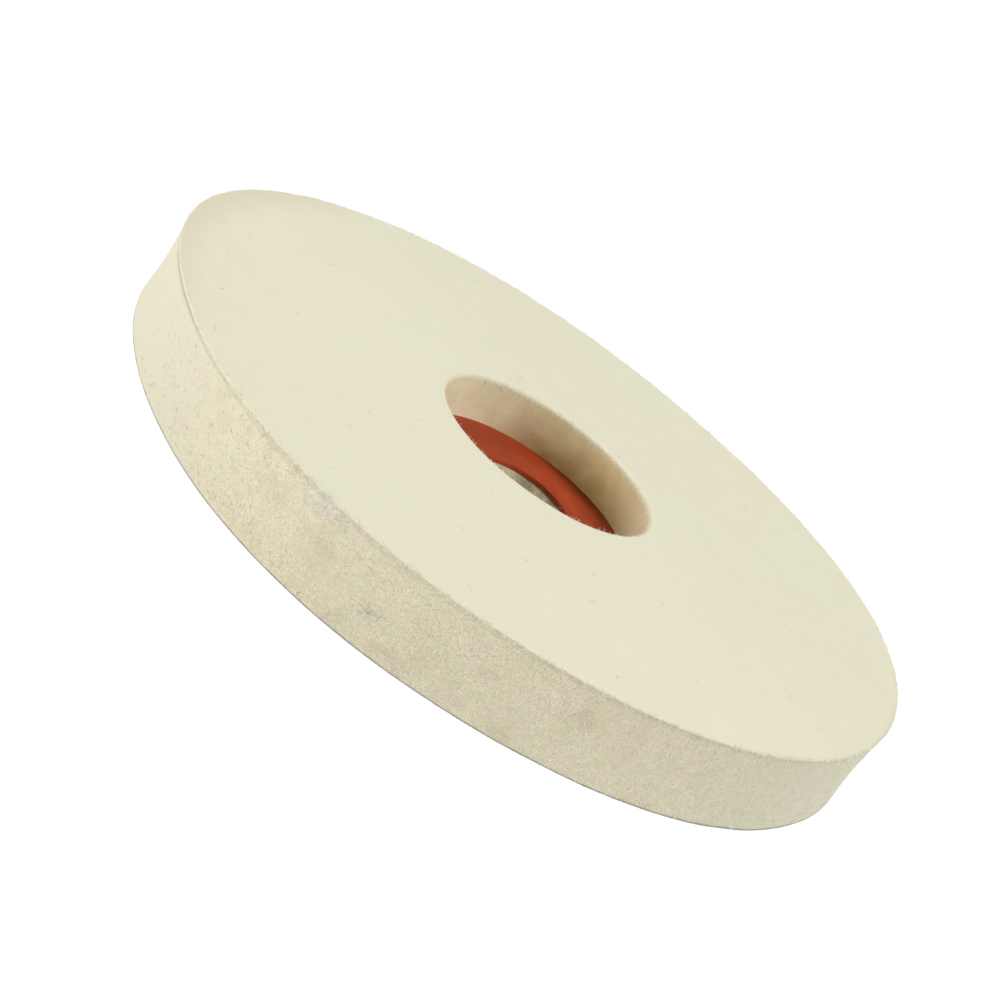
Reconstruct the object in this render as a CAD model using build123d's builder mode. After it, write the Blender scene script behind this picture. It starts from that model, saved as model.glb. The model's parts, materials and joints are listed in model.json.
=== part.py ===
"""Felt polishing wheel: a pressed wool disc with a recessed hub and a red fibre washer.

The wheel lies flat on its back face, with its axis on +Z and the recess opening upwards.
The origin is the centre of the back face. All sizes are in millimetres.
"""

from build123d import *
import os

INCH = 25.4

# Wheel
wheel_diameter = 6 * INCH
wheel_thickness = 5 / 8 * INCH
rim_hollow = 0.4
edge_radius = 0.5

# Hub
bore_diameter = 3 / 4 * INCH
recess_diameter = 43.7
recess_widening = 0.2
web_thickness = 5.8
bore_edge_radius = 0.3

# Washer and the glue under it
glue_thickness = 0.15
glue_setback = 0.5
washer_thickness = 0.8
washer_clearance = 0.08
washer_edge_break = 0.08

wheel_radius = wheel_diameter / 2
bore_radius = bore_diameter / 2
recess_radius = recess_diameter / 2
recess_floor_radius = recess_radius + recess_widening
washer_bottom = web_thickness + glue_thickness
washer_radius = recess_floor_radius - washer_clearance


# The felt is one pressed and die-cut piece. Its rim is slightly hollow, as a die leaves it, and
# the recess is a little wider at its floor than at its mouth.
with BuildPart() as felt_body:
    with BuildSketch(Plane.XZ) as half_section:
        with BuildLine():
            back = Line((bore_radius, 0), (wheel_radius, 0))
            rim = ThreePointArc(
                back @ 1,
                (wheel_radius - rim_hollow, wheel_thickness / 2),
                (wheel_radius, wheel_thickness),
            )
            front = Line(rim @ 1, (recess_radius, wheel_thickness))
            recess_wall = Line(front @ 1, (recess_floor_radius, web_thickness))
            recess_floor = Line(recess_wall @ 1, (bore_radius, web_thickness))
            bore_wall = Line(recess_floor @ 1, back @ 0)
        make_face()
    revolve(axis=Axis.Z)

    circles = felt_body.edges().filter_by(GeomType.CIRCLE)
    outer_edges = circles.group_by(SortBy.RADIUS)[-1]
    recess_mouth = circles.group_by(Axis.Z)[-1].sort_by(SortBy.RADIUS)[0]
    bore_mouth = circles.group_by(Axis.Z)[0].sort_by(SortBy.RADIUS)[0]
    fillet(outer_edges + [recess_mouth], radius=edge_radius)
    fillet(bore_mouth, radius=bore_edge_radius)

# A film of glue on the recess floor holds the washer. It stops short of the bore and the wall.
with BuildPart() as glue_film:
    with BuildSketch(Plane.XY.offset(web_thickness)):
        Circle(washer_radius - glue_setback)
        Circle(bore_radius + glue_setback, mode=Mode.SUBTRACT)
    extrude(amount=glue_thickness)

# The washer spreads the clamping nut's load over the felt web. It is a little wider than the
# recess mouth, because soft felt gives as the washer is pushed in. Its top edges are just broken.
with BuildPart() as fibre_washer:
    with BuildSketch(Plane.XY.offset(washer_bottom)):
        Circle(washer_radius)
        Circle(bore_radius, mode=Mode.SUBTRACT)
    extrude(amount=washer_thickness)
    chamfer(fibre_washer.edges().group_by(Axis.Z)[-1], length=washer_edge_break)

pieces = {
    "felt_body": felt_body,
    "glue_film": glue_film,
    "fibre_washer": fibre_washer,
}

os.makedirs("parts", exist_ok=True)
for label, piece in pieces.items():
    piece.part.label = label
    export_step(piece.part, f"parts/{label}.step")
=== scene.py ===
import json
import math
import bpy
import numpy as np
from mathutils import Matrix, Vector, noise


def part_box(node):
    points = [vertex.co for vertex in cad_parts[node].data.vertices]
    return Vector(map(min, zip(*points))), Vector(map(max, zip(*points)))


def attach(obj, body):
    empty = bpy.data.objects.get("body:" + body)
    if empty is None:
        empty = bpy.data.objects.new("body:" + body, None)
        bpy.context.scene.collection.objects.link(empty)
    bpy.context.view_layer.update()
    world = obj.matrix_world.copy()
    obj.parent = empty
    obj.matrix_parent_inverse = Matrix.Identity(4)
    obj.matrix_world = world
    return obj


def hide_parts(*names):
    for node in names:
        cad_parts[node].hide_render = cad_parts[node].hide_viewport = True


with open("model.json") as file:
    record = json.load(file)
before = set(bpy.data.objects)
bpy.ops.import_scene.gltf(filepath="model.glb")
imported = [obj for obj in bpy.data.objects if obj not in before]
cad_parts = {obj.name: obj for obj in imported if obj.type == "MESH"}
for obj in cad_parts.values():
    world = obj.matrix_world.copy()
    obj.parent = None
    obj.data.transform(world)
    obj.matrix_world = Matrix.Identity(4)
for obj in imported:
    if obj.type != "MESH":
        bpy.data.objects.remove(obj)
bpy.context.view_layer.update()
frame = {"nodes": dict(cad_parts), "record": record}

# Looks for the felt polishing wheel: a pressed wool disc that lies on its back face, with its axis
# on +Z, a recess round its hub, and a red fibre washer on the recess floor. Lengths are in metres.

MM = 0.001
rng = np.random.default_rng(41)

# ---------------------------------------------------------------- sizes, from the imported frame

_, felt_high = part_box("felt_body")
washer_low, washer_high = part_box("fibre_washer")
mounts = {mount["name"]: mount for mount in frame["record"]["mounts"]}

WHEEL_RADIUS = felt_high.x
THICKNESS = felt_high.z
BORE_RADIUS = mounts["arbor_bore"]["dims"]["r_mm"] * MM
WASHER_RADIUS = washer_high.x
WASHER_BOTTOM = washer_low.z
WASHER_TOP = washer_high.z
GLUE_THICKNESS = 0.15 * MM
WEB = WASHER_BOTTOM - GLUE_THICKNESS  # the felt left under the recess
FLOOR_RADIUS = WASHER_RADIUS + 0.01 * MM
MOUTH_RADIUS = WASHER_RADIUS - 0.12 * MM
RIM_HOLLOW = 0.4 * MM
EDGE_RADIUS = 0.22 * MM
BORE_EDGE = 0.3 * MM
MOUTH_ROUND = 0.8 * MM
WASHER_OVERLAP = 0.22 * MM
TABLE_GAP = 0.02 * MM

# ---------------------------------------------------------------- where the wheel differs round it

# Directions from +X towards +Y, seen from the front face.
# Some of these mark painted light and shade, on the face, the recess wall and the washer.
SMOOTH_ANGLE = math.radians(-165)
PAINTED_LIGHT_ANGLE = math.radians(-125)
LEAN_ANGLE = math.radians(-80)
FAR_RIGHT_ANGLE = math.radians(-15)
HOLE_SHADE_ANGLE = math.radians(25)
FAR_EDGE_ANGLE = math.radians(60)
WALL_SHADE_ANGLE = math.radians(72)
EDGE_SHADE_ANGLE = math.radians(180)

# How far round such a place reaches: see near().
SMOOTH_SPREAD = 0.22
NAP_SPREAD = 0.35
LEAN_SPREAD = 0.10

# The die-cut outline's lobes as (number round the wheel, height in millimetres, degrees of turn).
LOBES = ((1, 0.25, -30), (2, 0.40, 121), (3, 0.80, -67), (5, 0.33, -164))
LEAN = 0.55  # millimetres, at the back face

# The felt's gentle lumps as (scale per millimetre, height on a face, more on a cut, offset).
LUMPS = (
    (0.10, 0.060, 0.050, (0, 0, 0)),
    (0.35, 0.010, 0.020, (7, 0, 0)),
    (1.30, 0.003, 0.008, (0, 9, 0)),
)

# ---------------------------------------------------------------- camera, lights and floor

CAMERA_PLACE = (-0.0296, -4.617, 1.585)  # in wheel radii, from the centre of the front face
CAMERA_DROP = 20.79  # degrees below level
CAMERA_ROLL = 36.33  # degrees
SENSOR_WIDTH = 36  # millimetres
LENS = 75.6  # millimetres

# Soft boxes as (name, azimuth, elevation, (width, height), power), in degrees, metres and watts.
LAMPS = (
    ("right", 0, 55, (0.93, 0.93), 34.6),
    ("behind", 125, 52, (0.93, 0.93), 12.0),
    ("front_right", 315, 20, (0.85, 0.7), 4.8),
    ("front_left", 225, 11, (1.0, 0.75), 21.5),
    ("left", 180, 9, (1.0, 0.6), 14.8),
    ("back", 90, 9, (1.0, 0.6), 4.6),
)
LAMP_DISTANCE = 2.2
ROOM_LIGHT = 0.02
TABLE_SIZE = 60


def make_camera():
    """A long lens from the front, 21 degrees above the wheel, with the camera rolled."""
    data = bpy.data.cameras.new("camera")
    data.sensor_width = SENSOR_WIDTH
    data.lens = LENS
    data.clip_start = 0.01
    camera = bpy.data.objects.new("camera", data)
    bpy.context.scene.collection.objects.link(camera)
    place = Vector(CAMERA_PLACE) * WHEEL_RADIUS + Vector((0, 0, THICKNESS))
    tip = Matrix.Rotation(math.radians(90 - CAMERA_DROP), 4, "X")
    roll = Matrix.Rotation(math.radians(CAMERA_ROLL), 4, "Z")
    camera.matrix_world = Matrix.Translation(place) @ tip @ roll
    bpy.context.scene.camera = camera


def make_lamp(name, azimuth, elevation, size, power):
    """A soft box that faces the wheel: azimuth from +X towards +Y, and size as (width, height)."""
    data = bpy.data.lights.new(name, "AREA")
    data.shape = "RECTANGLE"
    data.size, data.size_y = size
    data.energy = power
    lamp = bpy.data.objects.new(name, data)
    bpy.context.scene.collection.objects.link(lamp)
    a, e = math.radians(azimuth), math.radians(elevation)
    lamp.location = LAMP_DISTANCE * Vector(
        (math.cos(a) * math.cos(e), math.sin(a) * math.cos(e), math.sin(e))
    )
    lamp.rotation_euler = (-lamp.location).to_track_quat("-Z", "Y").to_euler()


def make_studio():
    """Two soft boxes high on the right and behind, and four low ones round the wheel.

    The room gives hardly any light, but it looks as white as the floor beyond the floor's edge.
    """
    scene = bpy.context.scene
    scene.view_settings.view_transform = "Standard"
    world = bpy.data.worlds.new("studio")
    scene.world = world
    world.use_nodes = True
    tree = world.node_tree
    background = tree.nodes["Background"]
    background.inputs["Color"].default_value = (1, 1, 1, 1)
    seen = node(tree, "ShaderNodeLightPath").outputs["Is Camera Ray"]
    tree.links.new(maths(tree, "MAXIMUM", seen, ROOM_LIGHT), background.inputs["Strength"])
    for lamp in LAMPS:
        make_lamp(*lamp)


def make_floor():
    """A white light table, which shows no shadow."""
    bpy.ops.mesh.primitive_plane_add(size=TABLE_SIZE, location=(0, 0, -TABLE_GAP))
    floor = bpy.context.object
    floor.name = "floor"
    paper = bpy.data.materials.new("floor_paper")
    paper.use_nodes = True
    shader = paper.node_tree.nodes["Principled BSDF"]
    shader.inputs["Base Color"].default_value = (0.05, 0.05, 0.05, 1)
    shader.inputs["Roughness"].default_value = 0.9
    shader.inputs["Specular IOR Level"].default_value = 0.0
    shader.inputs["Emission Color"].default_value = (1, 1, 1, 1)
    shader.inputs["Emission Strength"].default_value = 1.0
    floor.data.materials.append(paper)


# ---------------------------------------------------------------- colours, linear RGB

FACE_GREENER = (0.788, 0.790, 0.590, 1)
FACE_PINKER = (0.818, 0.767, 0.590, 1)
FACE_PALER = (0.835, 0.800, 0.600, 1)
# Painted light on the face, strongest towards the front left.
FACE_PAINTED_LIGHT = (0.885, 0.850, 0.640, 1)
# Painted shade along the face's far left edge.
FACE_PAINTED_SHADE = (0.690, 0.630, 0.465, 1)
RIM_GREENER = (0.672, 0.632, 0.448, 1)
RIM_PINKER = (0.696, 0.626, 0.458, 1)
RIM_SMOOTH = (0.670, 0.630, 0.478, 1)
RIM_FAR_RIGHT = (0.636, 0.606, 0.450, 1)
RIM_DARKER = (0.600, 0.530, 0.374, 1)
# Painted shade under the rim's front edge, greyer on the far side.
RIM_EDGE_SHADE = (0.520, 0.475, 0.325, 1)
RIM_EDGE_SHADE_GREYER = (0.520, 0.510, 0.450, 1)
# Painted shade in the groove under the lip at the far left.
GROOVE_SHADE = (0.480, 0.430, 0.330, 1)
# Painted highlight on the lip at the far left.
LIP_HIGHLIGHT = (0.830, 0.800, 0.620, 1)
WALL_PALER = (0.930, 0.910, 0.665, 1)
WALL_BROWNER = (0.880, 0.835, 0.530, 1)
# Painted shade on the recess wall's far side, towards its foot.
WALL_PAINTED_SHADE = (0.510, 0.405, 0.160, 1)
# Painted shade on the recess wall's right.
WALL_RIGHT_SHADE = (0.680, 0.590, 0.365, 1)
BORE_PALER = (0.660, 0.590, 0.410, 1)
BORE_DARKER = (0.420, 0.360, 0.220, 1)
# Painted shade along the rim's back edge.
BACK_EDGE_SHADE = (0.220, 0.220, 0.240, 1)
SPECK = (0.300, 0.240, 0.150, 1)
WASHER_DEEPER = (0.362, 0.044, 0.012, 1)
WASHER_BRIGHTER = (0.430, 0.063, 0.017, 1)
# Darker towards the left.
WASHER_LEFT_DARKER = (0.285, 0.039, 0.010, 1)
WASHER_LINT = (0.500, 0.130, 0.060, 1)
# The raw cut's colour, also used for painted shade round the hole and by the recess wall.
WASHER_CUT_AND_SHADE = (0.190, 0.022, 0.005, 1)
GLUE_DARKER = (0.420, 0.270, 0.100, 1)
GLUE_PALER = (0.550, 0.420, 0.220, 1)

# Fibres as (darkest, lightest, how far the smooth far left presses them into the rim's colour).
WOOL_FIBRE = ((0.370, 0.330, 0.220, 1), (1.000, 1.000, 0.830, 1), 0.95)
PALE_FIBRE = ((0.480, 0.450, 0.350, 1), (1.000, 0.990, 0.880, 1), 0.0)
CURL_FIBRE = ((0.380, 0.370, 0.250, 1), (0.660, 0.640, 0.470, 1), 0.0)
SLATE_FIBRE = ((0.260, 0.260, 0.240, 1), (0.660, 0.650, 0.590, 1), 0.0)
DARK_FIBRE = ((0.120, 0.090, 0.050, 1), (0.480, 0.380, 0.250, 1), 0.6)
RUST_FIBRE = ((0.460, 0.300, 0.200, 1), (0.700, 0.540, 0.400, 1), 0.0)

# Layers of matted strands as (scale per millimetre, width, weight, offset).
FELT_STRANDS = (
    (1.3, 0.050, 1.0, 3.0),
    (1.9, 0.060, 1.0, 11.0),
    (2.7, 0.070, 0.9, 23.0),
    (4.0, 0.080, 0.8, 37.0),
)
WASHER_LINT_STRANDS = ((0.9, 0.030, 1.0, 5.0), (1.5, 0.040, 0.7, 13.0))


# ---------------------------------------------------------------- material nodes

def node(tree, kind, inputs=None, **settings):
    """Adds a node. Each input is given by name or number, as a value or as another node's socket."""
    made = tree.nodes.new(kind)
    for name, value in settings.items():
        setattr(made, name, value)
    for name, value in (inputs or {}).items():
        if isinstance(value, bpy.types.NodeSocket):
            tree.links.new(value, made.inputs[name])
        else:
            made.inputs[name].default_value = value
    return made


def maths(tree, operation, first, second=0.0):
    """A sum, product or other operation on two values or sockets."""
    return node(tree, "ShaderNodeMath", {0: first, 1: second}, operation=operation).outputs[0]


def ramp(tree, value, low, high, out_low=0.0, out_high=1.0, smooth=True):
    """Maps value from low..high to out_low..out_high, and holds it there outside that range."""
    made = node(
        tree,
        "ShaderNodeMapRange",
        {"Value": value, "From Min": low, "From Max": high, "To Min": out_low, "To Max": out_high},
        interpolation_type="SMOOTHSTEP" if smooth else "LINEAR",
    )
    return made.outputs["Result"]


def mix_colour(tree, amount, first, second, blend="MIX"):
    """The first colour, mixed by an amount from 0 to 1 with the second."""
    made = node(tree, "ShaderNodeMix", data_type="RGBA", blend_type=blend)
    for index, value in ((0, amount), (6, first), (7, second)):
        if isinstance(value, bpy.types.NodeSocket):
            tree.links.new(value, made.inputs[index])
        else:
            made.inputs[index].default_value = value
    return made.outputs[2]


def cloud(tree, place, scale, detail=2.0, roughness=0.5, distortion=0.0):
    """Noise whose features are about 1/scale millimetres wide."""
    inputs = {
        "Vector": place,
        "Scale": scale,
        "Detail": detail,
        "Roughness": roughness,
        "Distortion": distortion,
    }
    return node(tree, "ShaderNodeTexNoise", inputs)


def start_material(name):
    """A material with its node tree, its shader, and the place in millimetres in the CAD frame."""
    material = bpy.data.materials.new(name)
    material.use_nodes = True
    tree = material.node_tree
    shader = tree.nodes["Principled BSDF"]
    coordinates = node(tree, "ShaderNodeTexCoord").outputs["Object"]
    place = node(
        tree, "ShaderNodeVectorMath", {0: coordinates, 1: (1000, 1000, 1000)}, operation="MULTIPLY"
    ).outputs[0]
    return material, tree, shader, place


def shift(tree, place, offset):
    """The same place moved by an offset, so that two textures don't line up."""
    return node(
        tree, "ShaderNodeVectorMath", {0: place, 1: (offset, 2 * offset, -offset)}, operation="ADD"
    ).outputs[0]


def strands(tree, place, scale, width, offset):
    """Thin curved lines of a limited length, like matted fibres: 1 on a line and 0 between."""
    moved = shift(tree, place, offset)
    field = cloud(tree, moved, scale, 1.0, 0.5, 0.8).outputs[0]
    away = maths(tree, "ABSOLUTE", maths(tree, "SUBTRACT", field, 0.5))
    on_line = ramp(tree, away, 0.0, width, 1.0, 0.0)
    stretch = cloud(tree, shift(tree, moved, 31.0), scale * 0.8, 0.0).outputs[0]
    return maths(tree, "MULTIPLY", on_line, ramp(tree, stretch, 0.40, 0.56))


def matted(tree, place, layers):
    """Crossing layers of strands: each is (scale, width, weight, offset)."""
    total = None
    for scale, width, weight, offset in layers:
        layer = maths(tree, "MULTIPLY", strands(tree, place, scale, width, offset), weight)
        total = layer if total is None else maths(tree, "MAXIMUM", total, layer)
    return total


def radius_of(tree, place):
    """A place's distance from the wheel's axis, in millimetres."""
    flat = node(
        tree, "ShaderNodeVectorMath", {0: place, 1: (1, 1, 0)}, operation="MULTIPLY"
    ).outputs[0]
    return node(tree, "ShaderNodeVectorMath", {0: flat}, operation="LENGTH").outputs["Value"]


def facing(tree, place, angle):
    """How far a place lies towards an angle, as a share of the wheel's radius: from -1 to 1."""
    towards = Vector((math.cos(angle), math.sin(angle), 0)) * MM / WHEEL_RADIUS
    return node(
        tree, "ShaderNodeVectorMath", {0: place, 1: towards}, operation="DOT_PRODUCT"
    ).outputs["Value"]


def height_of(tree, place):
    """A place's height above the back face, in millimetres."""
    return node(tree, "ShaderNodeSeparateXYZ", {0: place}).outputs["Z"]


def felt_zones(tree, place):
    """The height, and where the cut surfaces are, from 0 to 1: rim, recess wall and bore."""
    height = height_of(tree, place)
    radius = radius_of(tree, place)
    top, outer, mouth = THICKNESS / MM, WHEEL_RADIUS / MM, MOUTH_RADIUS / MM
    frayed = maths(tree, "MULTIPLY", cloud(tree, place, 1.2, 3.0).outputs[0], 0.35)
    frayed_height = maths(tree, "ADD", height, frayed)
    below_front = ramp(tree, frayed_height, top - 0.12, top + 0.12, 1.0, 0.0)
    above_back = ramp(tree, height, 0.02, 0.12)
    outside = ramp(tree, radius, outer - 4, outer - 2.5)
    rim = maths(tree, "MULTIPLY", maths(tree, "MULTIPLY", below_front, above_back), outside)
    in_recess = ramp(tree, radius, mouth + 0.6, mouth + 1.2, 1.0, 0.0)
    wall = maths(tree, "MULTIPLY", in_recess, ramp(tree, height, top - 1.3, top - 0.05, 1.0, 0.0))
    wall = maths(tree, "MULTIPLY", wall, ramp(tree, height, WEB / MM - 1.5, WEB / MM - 0.5))
    in_bore = ramp(tree, radius, BORE_RADIUS / MM + 0.8, BORE_RADIUS / MM + 1.2, 1.0, 0.0)
    bore = maths(tree, "MULTIPLY", in_bore, ramp(tree, height, 0.1, 0.4))
    return height, rim, wall, bore


def face_edge_shade(tree, place, mottle):
    """Painted shade: the face is a little darker and browner at its far left, over the last few
    millimetres.
    """
    wandering = maths(tree, "ADD", radius_of(tree, place), maths(tree, "MULTIPLY", mottle, 7.0))
    outer = WHEEL_RADIUS / MM
    outermost = ramp(tree, wandering, outer - 5, outer + 3)
    far_left = ramp(tree, facing(tree, place, EDGE_SHADE_ANGLE), 0.7, 0.97, 0, 0.5)
    return maths(tree, "MULTIPLY", outermost, far_left)


def far_wall_shade(tree, place):
    """Painted shade: the recess wall is darker and browner on its far side, towards its foot."""
    reach = MOUTH_RADIUS / WHEEL_RADIUS
    near_shade = ramp(tree, facing(tree, place, WALL_SHADE_ANGLE), 0.58 * reach, 1.0 * reach)
    foot = ramp(tree, height_of(tree, place), WASHER_TOP / MM, THICKNESS / MM - 0.5, 1.0, 0.5)
    patchy = ramp(tree, cloud(tree, place, 0.35, 1.0).outputs[0], 0.3, 0.7, 0.8, 1.05)
    return maths(tree, "MULTIPLY", maths(tree, "MULTIPLY", near_shade, foot), patchy)


def band(tree, height, middle, reach):
    """1 at one height, and 0 further from it than a reach."""
    away = maths(tree, "ABSOLUTE", maths(tree, "SUBTRACT", height, middle))
    return ramp(tree, away, 0.2 * reach, reach, 1.0, 0.0)


def edge_shade_and_highlight(tree, place, height):
    """Painted shade under the front edge, ragged all round; at the far left, painted shade in the
    groove under the lip and a painted highlight on the lip.
    """
    top = THICKNESS / MM
    frayed = maths(tree, "MULTIPLY", cloud(tree, place, 1.6, 3.0, 0.6).outputs[0], 2.4)
    # Painted shade under the front edge, ragged by noise.
    edge_shade = ramp(tree, maths(tree, "ADD", height, frayed), top - 0.2, top + 1.2, 0.0, 0.7)
    smooth_side = facing(tree, place, SMOOTH_ANGLE)
    # Painted shade in the groove under the lip, at the far left only.
    groove_shade = band(tree, height, top - 0.75, 0.3)
    groove_shade = maths(tree, "MULTIPLY", groove_shade, ramp(tree, smooth_side, 0.82, 0.92))
    # Painted highlight on the lip, at the far left only.
    lip = band(tree, height, top - 0.2, 0.22)
    lip = maths(tree, "MULTIPLY", lip, ramp(tree, smooth_side, 0.6, 0.85, 0.0, 0.35))
    edge_shade = maths(tree, "MULTIPLY", edge_shade, ramp(tree, smooth_side, 0.7, 0.92, 1.0, 0.1))
    return edge_shade, groove_shade, lip


def face_colour(tree, place, mottle):
    """Broad, faint drifts between a greener and a pinker cream, with painted light towards the front
    left and painted shade along the far left edge.
    """
    drift = cloud(tree, place, 0.030, 2.0, 0.5).outputs[0]
    colour = mix_colour(tree, ramp(tree, drift, 0.36, 0.64), FACE_GREENER, FACE_PINKER)
    colour = mix_colour(tree, ramp(tree, mottle, 0.4, 0.7, 0.0, 0.6), colour, FACE_PALER)
    # Painted light on the face, strongest towards the front left.
    painted_light = ramp(tree, facing(tree, place, PAINTED_LIGHT_ANGLE), -0.6, 0.5, 0.0, 0.6)
    colour = mix_colour(tree, painted_light, colour, FACE_PAINTED_LIGHT)
    # Painted shade along the face's far left edge.
    return mix_colour(tree, face_edge_shade(tree, place, mottle), colour, FACE_PAINTED_SHADE)


def rim_colour(tree, place, height, mottle, blotch, far_right):
    """Browner than the face where the die has cut it, with painted shade along the front edge, and
    painted shade in the groove and a painted highlight on the lip at the far left.
    """
    colour = mix_colour(tree, ramp(tree, blotch, 0.35, 0.65), RIM_GREENER, RIM_PINKER)
    colour = mix_colour(tree, ramp(tree, mottle, 0.45, 0.75, 0.0, 0.8), colour, RIM_DARKER)
    smooth_side = ramp(tree, facing(tree, place, SMOOTH_ANGLE), 0.6, 0.92)
    colour = mix_colour(tree, smooth_side, colour, RIM_SMOOTH)
    colour = mix_colour(tree, far_right, colour, RIM_FAR_RIGHT)
    edge_shade, groove_shade, lip = edge_shade_and_highlight(tree, place, height)
    # Painted shade under the front edge, greyer on the far side.
    far_edge = ramp(tree, facing(tree, place, FAR_EDGE_ANGLE), -0.1, 0.4)
    edge_shade_colour = mix_colour(tree, far_edge, RIM_EDGE_SHADE, RIM_EDGE_SHADE_GREYER)
    colour = mix_colour(tree, edge_shade, colour, edge_shade_colour)
    # Painted shade in the groove at the far left.
    colour = mix_colour(tree, groove_shade, colour, GROOVE_SHADE)
    # Painted highlight on the lip at the far left.
    return mix_colour(tree, lip, colour, LIP_HIGHLIGHT)


def wall_colour(tree, place, blotch):
    """The recess wall: blotched, with painted shade at the right and on its far side."""
    colour = mix_colour(tree, ramp(tree, blotch, 0.3, 0.7), WALL_PALER, WALL_BROWNER)
    # Painted shade on the wall's right.
    right_shade = ramp(tree, facing(tree, place, 0.0), 0.0, 0.28)
    colour = mix_colour(tree, right_shade, colour, WALL_RIGHT_SHADE)
    # Painted shade on the wall's far side, towards its foot.
    return mix_colour(tree, far_wall_shade(tree, place), colour, WALL_PAINTED_SHADE)


def back_edge_shading(tree, height, rim, blotch, far_right):
    """Painted shade: grey on the rim along the back edge, and less of it at the far right."""
    ragged = maths(tree, "ADD", height, maths(tree, "MULTIPLY", blotch, 0.3))
    ragged = maths(tree, "SUBTRACT", ragged, maths(tree, "MULTIPLY", far_right, 0.12))
    low = maths(tree, "MULTIPLY", ramp(tree, ragged, 0.3, 0.6, 1.0, 0.0), rim)
    return maths(tree, "MULTIPLY", low, 0.9)


def felt_matting(tree, place, cut, far_right):
    """How far the matted fibres stand out: most on the cuts, and hardly at the far left."""
    wispy = cloud(tree, shift(tree, place, 17.0), 0.06, 2.0).outputs[0]
    frayed = ramp(tree, facing(tree, place, SMOOTH_ANGLE), 0.5, 0.92, 1.0, 0.08)
    frayed = maths(tree, "MULTIPLY", frayed, ramp(tree, wispy, 0.35, 0.6, 0.7, 1.0))
    frayed = maths(tree, "MULTIPLY", frayed, ramp(tree, far_right, 0.0, 1.0, 1.0, 0.6))
    return maths(tree, "MULTIPLY", cut, frayed)


def shade_by_relief(tree, colour, relief, matting):
    """Darkens the hollows between matted fibres and lightens the fibres that stand out."""
    average_relief = 1.33
    depth = ramp(tree, matting, 0.0, 1.0, 0.015, 0.45, smooth=False)
    shade = maths(tree, "MULTIPLY", maths(tree, "SUBTRACT", relief, average_relief), depth)
    shade = maths(tree, "ADD", shade, 1.0)
    grey = node(tree, "ShaderNodeCombineColor", {0: shade, 1: shade, 2: shade}).outputs[0]
    return mix_colour(tree, 1.0, colour, grey, blend="MULTIPLY")


def felt_specks(tree, place, cut):
    """Scattered dark specks: the vegetable matter that stays in wool."""
    spots = node(tree, "ShaderNodeTexVoronoi", {"Vector": place, "Scale": 0.35, "Randomness": 1.0})
    chosen = node(tree, "ShaderNodeSeparateColor", {0: spots.outputs["Color"]}).outputs[0]
    ragged = maths(tree, "MULTIPLY", cloud(tree, place, 3.0, 2.0).outputs[0], 0.08)
    distance = maths(tree, "ADD", spots.outputs["Distance"], ragged)
    inside = ramp(tree, distance, 0.055, 0.095, 1.0, 0.0)
    speck = maths(tree, "MULTIPLY", inside, ramp(tree, chosen, 0.60, 0.62))
    return maths(tree, "MULTIPLY", speck, ramp(tree, cut, 0.0, 1.0, 0.12, 0.45, smooth=False))


def felt_material():
    """Cream wool felt: smooth on the faces, matted and browner where the die has cut it."""
    material, tree, shader, place = start_material("wool_felt")
    height, rim, wall, bore = felt_zones(tree, place)
    mottle = cloud(tree, place, 0.14, 3.0, 0.6).outputs[0]
    blotch = cloud(tree, place, 0.32, 3.0, 0.6).outputs[0]
    far_right = ramp(tree, facing(tree, place, FAR_RIGHT_ANGLE), 0.7, 0.98)

    colour = face_colour(tree, place, mottle)
    on_rim_colour = rim_colour(tree, place, height, mottle, blotch, far_right)
    colour = mix_colour(tree, rim, colour, on_rim_colour)
    colour = mix_colour(tree, wall, colour, wall_colour(tree, place, blotch))
    bore_colour = mix_colour(tree, ramp(tree, blotch, 0.4, 0.6), BORE_PALER, BORE_DARKER)
    colour = mix_colour(tree, bore, colour, bore_colour)
    # Painted shade along the rim's back edge.
    colour = mix_colour(tree, back_edge_shading(tree, height, rim, blotch, far_right), colour, BACK_EDGE_SHADE)

    cut = maths(tree, "ADD", maths(tree, "ADD", rim, maths(tree, "MULTIPLY", wall, 0.3)), bore)
    cut = maths(tree, "MINIMUM", cut, 1.0)
    matting = felt_matting(tree, place, cut, far_right)
    strand = maths(tree, "MULTIPLY", matted(tree, place, FELT_STRANDS), 0.6)
    grain = cloud(tree, place, 5.5, 3.0, 0.7, 0.3).outputs[0]
    relief = maths(tree, "ADD", strand, maths(tree, "MULTIPLY", grain, 2.4))
    colour = shade_by_relief(tree, colour, relief, matting)
    colour = mix_colour(tree, felt_specks(tree, place, cut), colour, SPECK)
    tree.links.new(colour, shader.inputs["Base Color"])

    rough = ramp(tree, relief, 0.8, 2.0, 0.98, 0.86, smooth=False)
    tree.links.new(rough, shader.inputs["Roughness"])
    relief_depth = ramp(tree, matting, 0.0, 1.0, 0.004, 0.010, smooth=False)
    bump_height = maths(tree, "MULTIPLY", relief, relief_depth)
    bump = node(tree, "ShaderNodeBump", {"Height": bump_height, "Distance": MM, "Strength": 1.0})
    tree.links.new(bump.outputs["Normal"], shader.inputs["Normal"])
    shader.inputs["Specular IOR Level"].default_value = 0.15
    shader.inputs["Sheen Weight"].default_value = 0.12
    shader.inputs["Sheen Roughness"].default_value = 0.5
    return material


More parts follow.
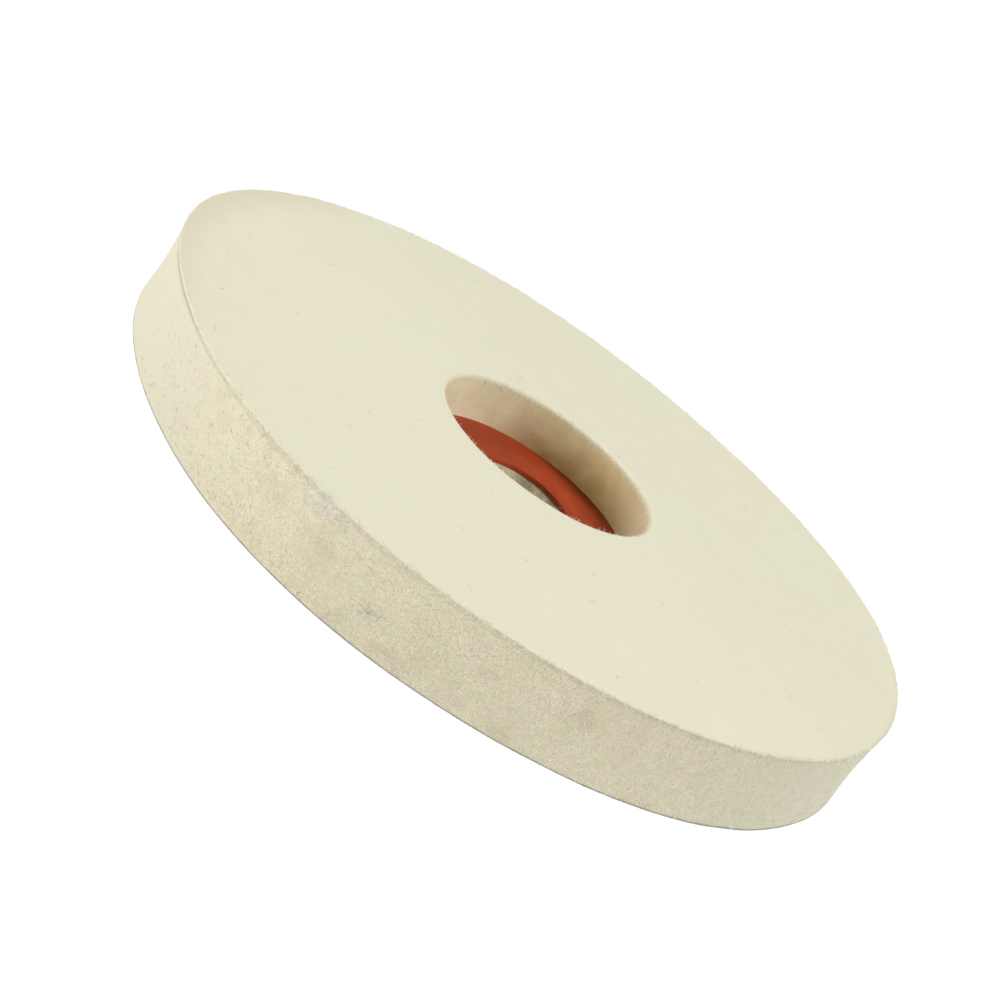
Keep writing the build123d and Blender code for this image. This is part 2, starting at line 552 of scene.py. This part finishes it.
def fibre_material(name, dark, light, flattening):
    """Single wool fibres, each in its own shade between dark and light: its tone attribute.

    flattening is how far the fibres at the smooth far left are pressed into the surface's colour.
    """
    material, tree, shader, place = start_material(name)
    tone = node(tree, "ShaderNodeAttribute", attribute_name="tone").outputs["Fac"]
    patch = cloud(tree, place, 2.0, 2.0).outputs[0]
    shade = maths(tree, "MULTIPLY", tone, ramp(tree, patch, 0.3, 0.7, 0.85, 1.0))
    flattened = ramp(tree, facing(tree, place, SMOOTH_ANGLE), 0.1, 0.8, 0.0, flattening)
    colour = mix_colour(tree, flattened, mix_colour(tree, shade, dark, light), RIM_SMOOTH)
    tree.links.new(colour, shader.inputs["Base Color"])
    tree.links.new(ramp(tree, patch, 0.3, 0.7, 0.7, 0.95), shader.inputs["Roughness"])
    shader.inputs["Specular IOR Level"].default_value = 0.2
    shader.inputs["Sheen Weight"].default_value = 0.1
    return material


def washer_material():
    """Red vulcanised fibre: a calendered board with faint clouds, lint, and a raw, darker cut at the
    hole, with painted shade by the recess wall and round the hole, mostly at the right.
    """
    material, tree, shader, place = start_material("vulcanised_fibre")
    clouds = cloud(tree, place, 0.25, 3.0, 0.55).outputs[0]
    colour = mix_colour(tree, ramp(tree, clouds, 0.3, 0.7), WASHER_DEEPER, WASHER_BRIGHTER)
    lint = matted(tree, place, WASHER_LINT_STRANDS)
    colour = mix_colour(tree, maths(tree, "MULTIPLY", lint, 0.08), colour, WASHER_LINT)
    # Darker towards the left.
    darker_left = ramp(tree, facing(tree, place, math.pi), 0.06, 0.26, 0.0, 0.6)
    colour = mix_colour(tree, darker_left, colour, WASHER_LEFT_DARKER)
    ragged = maths(tree, "MULTIPLY", cloud(tree, place, 1.5, 3.0).outputs[0], 0.9)
    radius = maths(tree, "ADD", radius_of(tree, place), ragged)
    # Painted shade at the foot of the recess wall, at the right.
    wall_foot_shade = ramp(tree, radius, WASHER_RADIUS / MM - 0.5, WASHER_RADIUS / MM + 0.3, 0.0, 0.2)
    right = ramp(tree, facing(tree, place, 0.0), 0.02, 0.24)
    wall_foot_shade = maths(tree, "MULTIPLY", wall_foot_shade, right)
    # The raw cut round the hole, with painted shade that is strongest at the right.
    hole_cut_and_shade = ramp(tree, radius, BORE_RADIUS / MM + 0.4, BORE_RADIUS / MM + 1.2, 1.0, 0.0)
    hole_shade = ramp(tree, facing(tree, place, HOLE_SHADE_ANGLE), -0.02, 0.11, 0.12, 1.0)
    hole_cut_and_shade = maths(tree, "MULTIPLY", hole_cut_and_shade, hole_shade)
    colour = mix_colour(tree, maths(tree, "MAXIMUM", wall_foot_shade, hole_cut_and_shade), colour, WASHER_CUT_AND_SHADE)
    tree.links.new(colour, shader.inputs["Base Color"])
    tree.links.new(ramp(tree, clouds, 0.3, 0.7, 0.48, 0.62), shader.inputs["Roughness"])
    grain = cloud(tree, place, 5.0, 3.0, 0.6).outputs[0]
    relief = maths(
        tree, "ADD", maths(tree, "MULTIPLY", grain, 0.008), maths(tree, "MULTIPLY", lint, 0.004)
    )
    bump = node(tree, "ShaderNodeBump", {"Height": relief, "Distance": MM, "Strength": 1.0})
    tree.links.new(bump.outputs["Normal"], shader.inputs["Normal"])
    shader.inputs["Specular IOR Level"].default_value = 0.15
    return material


def glue_material():
    """Amber contact glue, patchy where the felt has soaked it up."""
    material, tree, shader, place = start_material("glue")
    patches = cloud(tree, place, 0.8, 3.0).outputs[0]
    colour = mix_colour(tree, ramp(tree, patches, 0.35, 0.65), GLUE_DARKER, GLUE_PALER)
    tree.links.new(colour, shader.inputs["Base Color"])
    tree.links.new(ramp(tree, patches, 0.35, 0.65, 0.3, 0.7), shader.inputs["Roughness"])
    bump = node(tree, "ShaderNodeBump", {"Height": patches, "Distance": 0.05 * MM})
    tree.links.new(bump.outputs["Normal"], shader.inputs["Normal"])
    return material


# ---------------------------------------------------------------- the felt's surface

def line(start, end, steps):
    """Points from start towards end. The last one is left to the next stretch."""
    return [
        (start[0] + (end[0] - start[0]) * i / steps, start[1] + (end[1] - start[1]) * i / steps)
        for i in range(steps)
    ]


def corner(centre, radius, first, last, steps):
    """Points round a corner, from the first angle to the last in degrees, with both ends."""
    angles = [math.radians(first + (last - first) * i / steps) for i in range(steps + 1)]
    return [(centre[0] + radius * math.cos(a), centre[1] + radius * math.sin(a)) for a in angles]


def rim_radius(height):
    """The rim is hollowed a little by the die: least at half the thickness."""
    across = 2 * height / THICKNESS - 1
    return WHEEL_RADIUS - RIM_HOLLOW * (1 - across * across)


def step(value, low, high):
    """0 below low, 1 above high, and smooth between."""
    t = min(max((value - low) / (high - low), 0.0), 1.0)
    return t * t * (3 - 2 * t)


def near(angle, middle, spread):
    """1 at the middle angle, falling smoothly to 0: a spread of 0.1 reaches 26 degrees each way."""
    return np.exp((np.cos(angle - middle) - 1) / spread)


def outline_wander(angle, height):
    """How far the die-cut outline stands outside a true circle.

    At the front left the cut also leans in a little towards the back face.
    """
    lobes = sum(
        tall * math.cos(number * angle + math.radians(turn)) for number, tall, turn in LOBES
    )
    lean = LEAN * near(angle, LEAN_ANGLE, LEAN_SPREAD) * (1 - height / THICKNESS)
    return (lobes - lean) * MM


def skin(radius, height, out, up, angle):
    """The felt's surface at a place on the plain profile: out and up are its normal there."""
    c, s = math.cos(angle), math.sin(angle)
    to_rim = step(radius, 0.72 * WHEEL_RADIUS, 0.97 * WHEEL_RADIUS)
    radius += outline_wander(angle, height) * to_rim
    spot = Vector((radius * c, radius * s, height)) / MM
    cut, below = abs(out), (THICKNESS - height) / MM
    smooth = near(angle, SMOOTH_ANGLE, SMOOTH_SPREAD)
    lumps = sum(
        noise.noise(spot * scale + Vector(offset)) * (on_flat + on_cut * cut)
        for scale, on_flat, on_cut, offset in LUMPS
    )
    lumps *= 1 - 0.8 * smooth
    if radius > 0.9 * WHEEL_RADIUS:
        # The die leaves a small lip and a groove at the far left, and frays the edge elsewhere.
        fray = noise.noise(spot * 0.9 + Vector((0, 0, 5))) * (1 - smooth)
        lumps += cut * 0.16 * fray * math.exp(-((below / 0.5) ** 2))
        lip = 0.12 + 0.88 * smooth
        lumps -= cut * 0.32 * lip * math.exp(-(((below - 0.75) / 0.28) ** 2))
        lumps += cut * 0.06 * lip * math.exp(-(((below - 0.18) / 0.22) ** 2))
    elif height < THICKNESS / 2 and out < 0:
        lumps *= step(height, WASHER_TOP + 0.1 * MM, WASHER_TOP + 1.5 * MM)
    radius += lumps * MM * out
    height += lumps * MM * up
    return Vector((radius * c, radius * s, max(height, 0.0)))


def felt_rings():
    """The felt's half section as rings: (radius, height, points round), from the bore outwards."""
    e, top, m = EDGE_RADIUS, THICKNESS, MOUTH_ROUND
    few, more, most = 300, 600, 1200
    back_join, front_join, outer_join = 40 * MM, 50 * MM, WHEEL_RADIUS - 4 * MM
    rings = []

    def add(points, count):
        rings.extend((r, z, count) for r, z in points)

    inner = BORE_RADIUS + BORE_EDGE
    add(corner((inner, BORE_EDGE), BORE_EDGE, 180, 270, 3), few)
    add(line((inner + 1 * MM, 0), (back_join, 0), 12), few)
    add(line((back_join, 0), (outer_join, 0), 9), more)
    add(line((outer_join, 0), (WHEEL_RADIUS - e, 0), 5), most)
    add(corner((WHEEL_RADIUS - e, e), e, 270, 360, 3), most)
    lip_start = top - 1.8 * MM
    plain_rim = line((0, e), (0, lip_start), 19)[1:]
    worn_rim = line((0, lip_start), (0, top - e), 14)
    add([(rim_radius(z), z) for _, z in plain_rim + worn_rim], most)
    add(corner((WHEEL_RADIUS - e, top - e), e, 0, 90, 4), most)
    add(line((WHEEL_RADIUS - e - 0.5 * MM, top), (outer_join, top), 6), most)
    add(line((outer_join, top), (front_join, top), 9), more)
    add(line((front_join, top), (MOUTH_RADIUS + m + 1 * MM, top), 12), few)
    add(corner((MOUTH_RADIUS + m, top - m), m, 90, 180, 7), few)
    foot = WASHER_RADIUS - WASHER_OVERLAP
    add(line((MOUTH_RADIUS, top - m), (foot, WASHER_TOP + 0.03 * MM), 20)[1:], few)
    add([(foot, WASHER_TOP + height * MM) for height in (0.03, 0.015, 0.004)], few)
    add([(FLOOR_RADIUS, WASHER_TOP + 0.002 * MM)], few)
    add(line((FLOOR_RADIUS, WASHER_TOP - 0.2 * MM), (FLOOR_RADIUS, WEB), 2), few)
    add(line((FLOOR_RADIUS, WEB), (BORE_RADIUS, WEB), 6), few)
    add(line((BORE_RADIUS, WEB), (BORE_RADIUS, BORE_EDGE), 12), few)
    return rings


def make_felt(material):
    """The felt disc: one closed skin through all the rings, the last of which joins the first."""
    rings = felt_rings()
    points, indices = [], []
    for i, (r, z, count) in enumerate(rings):
        before, after = rings[i - 1], rings[(i + 1) % len(rings)]
        along = Vector((after[0] - before[0], after[1] - before[1])).normalized()
        first = len(points)
        for k in range(count):
            points.append(skin(r, z, along.y, -along.x, 2 * math.pi * k / count))
        indices.append(range(first, first + count))
    faces = []
    for i, lower in enumerate(indices):
        faces.extend(bridge(lower, indices[(i + 1) % len(indices)]))
    mesh = bpy.data.meshes.new("felt_disc")
    mesh.from_pydata(points, [], faces)
    return finish_piece("felt_disc", mesh, material)


def bridge(lower, upper):
    """Faces between two rings whose counts are equal, or one of which is twice the other."""
    a, b = len(lower), len(upper)
    if a == b:
        return [
            (lower[k], lower[(k + 1) % a], upper[(k + 1) % a], upper[k]) for k in range(a)
        ]
    if a == 2 * b:
        faces = []
        for k in range(b):
            first, second, third = lower[2 * k], lower[2 * k + 1], lower[(2 * k + 2) % a]
            above, next_above = upper[k], upper[(k + 1) % b]
            faces += [
                (first, second, above), (second, next_above, above), (second, third, next_above)
            ]
        return faces
    return [tuple(reversed(face)) for face in bridge(upper, lower)]


def finish_piece(name, mesh, material, smooth=True):
    """Makes a piece of a mesh with the given material. It belongs to the wheel's body."""
    mesh.validate()
    if smooth:
        mesh.shade_smooth()
    mesh.materials.append(material)
    piece = bpy.data.objects.new(name, mesh)
    bpy.context.scene.collection.objects.link(piece)
    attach(piece, "root")
    return piece


# ---------------------------------------------------------------- loose fibres

ROOT_DEPTH = 0.02 * MM
FIBRE_FLATNESS = 0.3
TIP_TAPER = 0.5

# Below the back face this share of a fibre's depth is kept, so it lies between felt and floor.
UNDERSIDE_SQUASH = 0.015

# The rim's nap, in parts as (shortest in millimetres, longest, tones).
RIM_NAP = (
    (0.6, 2.0, (0.6, 1)),
    (0.6, 2.0, (0.5, 1)),
    (0.3, 0.9, (0.1, 0.7)),
    (0.2, 0.7, (0, 0.3)),
)
FIBRES_PER_PART = 8800
NAP_WORN_AWAY = 0.98


def mm(least, most):
    """A range given in millimetres."""
    return least * MM, most * MM


def draw(count, pair):
    """One random value between the pair's two for each fibre, as a column."""
    return rng.uniform(pair[0], pair[1], count)[:, None]


def along_surface(normals):
    """One direction that lies in the surface at each root."""
    upright = np.where(np.abs(normals[:, 2:]) > 0.7, (1.0, 0.0, 0.0), (0.0, 0.0, 1.0))
    side = np.cross(upright, normals)
    return side / np.linalg.norm(side, axis=1)[:, None]


def draw_fibres(count, length, width, lift, curl, points):
    """Each fibre's heading and rise, its turn and droop at each point, its stride and half width."""
    heading = draw(count, (0, 2 * math.pi))
    rise = np.radians(draw(count, lift))
    turn = np.radians(draw(count, curl)) * rng.choice((-1, 1), count)[:, None] / points
    droop = rise * draw(count, (0.9, 2.2)) / points
    stride = draw(count, length) / points
    half = draw(count, width) / 2
    return heading, rise, turn, droop, stride, half


def fibre_spines(roots, normals, side, points, heading, rise, turn, droop, stride):
    """The points along each fibre, which leaves its root, wanders, and droops to the surface."""
    other = np.cross(normals, side)
    spine = [roots - normals * ROOT_DEPTH]
    for _ in range(points - 1):
        along = np.cos(rise) * (np.cos(heading) * side + np.sin(heading) * other)
        along += np.sin(rise) * normals
        spine.append(spine[-1] + along * stride)
        heading = heading + turn * draw(len(roots), (0.4, 1.6))
        rise = rise - droop
    return spine


def fibre_tubes(spine, normals, side, half):
    """A flattened triangle round each point of a fibre, and its last point as the tip."""
    points = len(spine)
    smallest = 1e-3
    tube = np.zeros((len(normals), 3 * (points - 1) + 1, 3))
    for k in range(points - 1):
        along = spine[k + 1] - spine[k]
        along /= np.linalg.norm(along, axis=1)[:, None]
        across = np.cross(along, normals)
        size = np.linalg.norm(across, axis=1)[:, None]
        across = np.where(size > smallest, across / np.maximum(size, smallest), side)
        over = np.cross(across, along)
        taper = 1 - TIP_TAPER * k / points
        for c in range(3):
            around = 2 * math.pi * (c / 3 + 1 / 4)
            offset = math.cos(around) * across + FIBRE_FLATNESS * math.sin(around) * over
            tube[:, 3 * k + c] = spine[k] + offset * half * taper
    tube[:, -1] = spine[-1]
    height = tube[:, :, 2]
    tube[:, :, 2] = np.where(height < 0, height * UNDERSIDE_SQUASH, height)
    return tube


def fibre_faces(points):
    """One closed fibre's triangles: its root, its sides and its tip."""
    pattern = [(0, 1, 2)]
    for k in range(points - 2):
        for c in range(3):
            a, b = 3 * k + c, 3 * k + (c + 1) % 3
            pattern += [(a, b + 3, b), (a, a + 3, b + 3)]
    tip, last = 3 * (points - 1), 3 * (points - 2)
    pattern += [(last + (c + 1) % 3, last + c, tip) for c in range(3)]
    return np.array(pattern)


def make_fibres(name, spots, material, length, width, lift, curl, tone=(0, 1), points=5):
    """Closed, flattened, three-sided fibres that leave their roots and wander over the surface.

    spots is the roots and the surface's normals there. length, width, lift (degrees above the
    surface), curl (degrees turned along the fibre) and tone (each fibre's shade, from dark to
    light) are (least, most) pairs. Each fibre has a number of points along it.
    """
    roots, normals = spots
    count = len(roots)
    side = along_surface(normals)
    *course, half = draw_fibres(count, length, width, lift, curl, points)
    spine = fibre_spines(roots, normals, side, points, *course)
    tube = fibre_tubes(spine, normals, side, half)
    per_fibre = tube.shape[1]
    faces = fibre_faces(points)[None] + (np.arange(count) * per_fibre)[:, None, None]
    mesh = bpy.data.meshes.new(name)
    mesh.from_pydata(tube.reshape(-1, 3).tolist(), [], faces.reshape(-1, 3).tolist())
    shade = mesh.attributes.new("tone", "FLOAT", "POINT")
    tones = np.repeat(rng.uniform(tone[0], tone[1], count), per_fibre)
    shade.data.foreach_set("value", tones.astype(np.float32))
    return finish_piece(name, mesh, material, smooth=False)


def place_on_felt(radii, heights, outs, ups, angles):
    """Points on the felt's skin at places of the plain profile, and the normals there."""
    roots = [skin(*spot) for spot in zip(radii, heights, outs, ups, angles)]
    normals = np.stack((outs * np.cos(angles), outs * np.sin(angles), ups), axis=1)
    return np.array(roots), normals


def frayed_angles(count):
    """Angles round the rim, fewer at the far left, where it is nearly smooth."""
    sectors = np.radians(np.arange(360))
    share = 1 - NAP_WORN_AWAY * near(sectors, SMOOTH_ANGLE, NAP_SPREAD)
    sector = rng.choice(sectors, count, p=share / share.sum())
    return sector + rng.uniform(0, math.radians(1), count)


def on_rim(count, low, high):
    """Places on the rim between two heights."""
    return rim_spots(frayed_angles(count), rng.uniform(low, high, count))


def rim_patch(count, degrees, spread, height, height_spread):
    """A small patch of the rim about one angle and height."""
    angle = np.radians(rng.normal(degrees, spread, count))
    tall = np.clip(rng.normal(height, height_spread, count), 0.2 * MM, THICKNESS - 0.15 * MM)
    return rim_spots(angle, tall)


def rim_spots(angle, height):
    """Places on the rim at given angles and heights."""
    flat, upright = np.zeros(len(angle)), np.ones(len(angle))
    return place_on_felt([rim_radius(z) for z in height], height, upright, flat, angle)


def on_edge(count, radius, height, out, up, rounding, lean):
    """Places round a rounded edge. lean is the range of slopes, from 0 at the side to 90 on top."""
    angle = frayed_angles(count)
    share = np.radians(rng.uniform(lean[0], lean[1], count))
    heights = height - up * rounding * (1 - np.sin(share))
    radii = radius - out * rounding * (1 - np.cos(share))
    return place_on_felt(radii, heights, out * np.cos(share), up * np.sin(share), angle)


def on_face(count, low, high, height, up):
    """Places on a flat face between two radii. up is 1 on the front face and -1 on the back."""
    angle = rng.uniform(0, 2 * math.pi, count)
    radius = np.sqrt(rng.uniform(low**2, high**2, count))
    heights, outs, ups = np.full(count, height), np.zeros(count), np.full(count, up)
    return place_on_felt(radius, heights, outs, ups, angle)


def on_wall(count, radius, low, high):
    """Places on a wall that faces the axis, between two heights."""
    angle = rng.uniform(0, 2 * math.pi, count)
    height = rng.uniform(low, high, count)
    return place_on_felt(np.full(count, radius), height, -np.ones(count), np.zeros(count), angle)


def make_rim_nap(wool):
    """The rim's matted nap, from long pale fibres to short dark ones."""
    for part, (shortest, longest, tone) in enumerate(RIM_NAP, start=1):
        spots = on_rim(FIBRES_PER_PART, 0.25 * MM, THICKNESS - 0.2 * MM)
        make_fibres(
            f"rim_nap_{part}", spots, wool, length=mm(shortest, longest),
            width=mm(0.055, 0.12), lift=(1, 7), curl=(10, 150), tone=tone,
        )


def make_edge_fuzz(wool, slate, pale):
    """Fuzz round the rim's two edges and the recess mouth, and a few long curls at the mouth."""
    make_fibres(
        "front_edge_fuzz", on_edge(4600, WHEEL_RADIUS, THICKNESS, 1, 1, EDGE_RADIUS, (0, 60)),
        wool, length=mm(0.3, 1.3), width=mm(0.04, 0.10), lift=(1, 11), curl=(40, 300),
        tone=(0.55, 1),
    )
    make_fibres(
        "back_edge_fuzz", on_edge(1500, WHEEL_RADIUS, 0, 1, -1, EDGE_RADIUS, (5, 75)),
        slate, length=mm(0.3, 0.9), width=mm(0.035, 0.070), lift=(2, 20), curl=(60, 300),
        tone=(0.3, 1),
    )
    make_fibres(
        "mouth_fuzz", on_edge(900, MOUTH_RADIUS, THICKNESS, -1, 1, MOUTH_ROUND, (0, 45)),
        wool, length=mm(0.5, 1.5), width=mm(0.05, 0.09), lift=(5, 55), curl=(100, 320),
        tone=(0.85, 1), points=7,
    )
    make_fibres(
        "mouth_curls", on_edge(36, MOUTH_RADIUS, THICKNESS, -1, 1, MOUTH_ROUND, (0, 40)),
        pale, length=mm(1.2, 2.6), width=mm(0.05, 0.09), lift=(25, 70), curl=(100, 320),
        tone=(0.5, 0.9), points=9,
    )


def make_inner_nap(wool):
    """The nap on the recess wall and in the bore."""
    make_fibres(
        "recess_nap", on_wall(1500, MOUTH_RADIUS, WASHER_TOP, THICKNESS - MOUTH_ROUND),
        wool, length=mm(0.6, 1.6), width=mm(0.035, 0.070), lift=(2, 12), curl=(60, 300),
        tone=(0, 0.5),
    )
    make_fibres(
        "bore_nap", on_wall(700, BORE_RADIUS, 0.4 * MM, WEB - 0.1 * MM),
        wool, length=mm(0.5, 1.5), width=mm(0.035, 0.070), lift=(5, 35), curl=(60, 300),
        points=6,
    )


def make_face_hairs(wool, face_span):
    """Fine pale hairs that lie on the front and back faces."""
    make_fibres(
        "front_hairs", on_face(1100, *face_span, THICKNESS, 1),
        wool, length=mm(0.6, 2.2), width=mm(0.03, 0.07), lift=(2, 8), curl=(40, 300),
        tone=(0.4, 1), points=6,
    )
    make_fibres(
        "back_hairs", on_face(900, BORE_RADIUS + 1 * MM, face_span[1], 0, -1),
        wool, length=mm(0.6, 2.0), width=mm(0.02, 0.05), lift=(2, 8), curl=(40, 300),
        tone=(0.3, 1), points=6,
    )


def make_tufts(pale, slate, rust):
    """Three tufts on the rim nearest the camera: high and pale, low and grey, and a rusty wisp."""
    make_fibres(
        "pale_tuft", rim_patch(780, -106.7, 2.7, THICKNESS - 1.4 * MM, 0.8 * MM),
        pale, length=mm(0.5, 1.6), width=mm(0.06, 0.11), lift=(1, 8), curl=(20, 160),
        tone=(0.3, 1), points=6,
    )
    make_fibres(
        "slate_tuft", rim_patch(150, -95.6, 1.0, THICKNESS - 9.9 * MM, 0.45 * MM),
        slate, length=mm(0.4, 1.2), width=mm(0.04, 0.08), lift=(1, 8), curl=(20, 200),
    )
    make_fibres(
        "rust_tuft", rim_patch(16, -98.3, 0.3, THICKNESS - 4.9 * MM, 0.5 * MM),
        rust, length=mm(0.4, 1.1), width=mm(0.05, 0.09), lift=(2, 10), curl=(20, 120),
    )


def make_dark_rim_hairs(dark):
    """Short dark hairs all over the rim, and more of them just under its front edge."""
    make_fibres(
        "dark_rim_hairs", on_rim(300, 0.6 * MM, THICKNESS - 0.3 * MM),
        dark, length=mm(0.3, 1.0), width=mm(0.06, 0.14), lift=(1, 8), curl=(5, 90),
        tone=(0.2, 1),
    )
    make_fibres(
        "dark_edge_hairs", on_rim(900, THICKNESS - 1.3 * MM, THICKNESS - 0.15 * MM),
        dark, length=mm(0.15, 0.5), width=mm(0.05, 0.12), lift=(1, 12), curl=(5, 120),
        tone=(0.5, 1),
    )


def make_face_marks(curl, dark, face_span):
    """Long curls, a little darker than the front face that they lie on, and thin dark hairs."""
    make_fibres(
        "face_curls", on_face(150, *face_span, THICKNESS, 1),
        curl, length=mm(1.2, 3.6), width=mm(0.06, 0.11), lift=(1, 5), curl=(60, 400),
        tone=(0, 1), points=9,
    )
    make_fibres(
        "dark_face_hairs", on_face(90, *face_span, THICKNESS, 1),
        dark, length=mm(0.4, 1.8), width=mm(0.02, 0.05), lift=(2, 8), curl=(10, 200),
        tone=(0.5, 1), points=6,
    )


def make_nap():
    """Every loose fibre. The order matters, because all groups draw from one random source."""
    wool = fibre_material("wool_fibre", *WOOL_FIBRE)
    pale = fibre_material("pale_fibre", *PALE_FIBRE)
    curl = fibre_material("curl_fibre", *CURL_FIBRE)
    slate = fibre_material("slate_fibre", *SLATE_FIBRE)
    dark = fibre_material("dark_fibre", *DARK_FIBRE)
    rust = fibre_material("rust_fibre", *RUST_FIBRE)
    face_span = (MOUTH_RADIUS + 1 * MM, WHEEL_RADIUS - 1 * MM)
    make_rim_nap(wool)
    make_edge_fuzz(wool, slate, pale)
    make_inner_nap(wool)
    make_face_hairs(wool, face_span)
    make_tufts(pale, slate, rust)
    make_dark_rim_hairs(dark)
    make_face_marks(curl, dark, face_span)


# ---------------------------------------------------------------- put together

make_camera()
make_studio()
make_floor()

felt_disc = make_felt(felt_material())
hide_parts("felt_body")
make_nap()

for label, material in (("fibre_washer", washer_material()), ("glue_film", glue_material())):
    mesh = frame["nodes"][label].data
    mesh.materials.clear()
    mesh.materials.append(material)
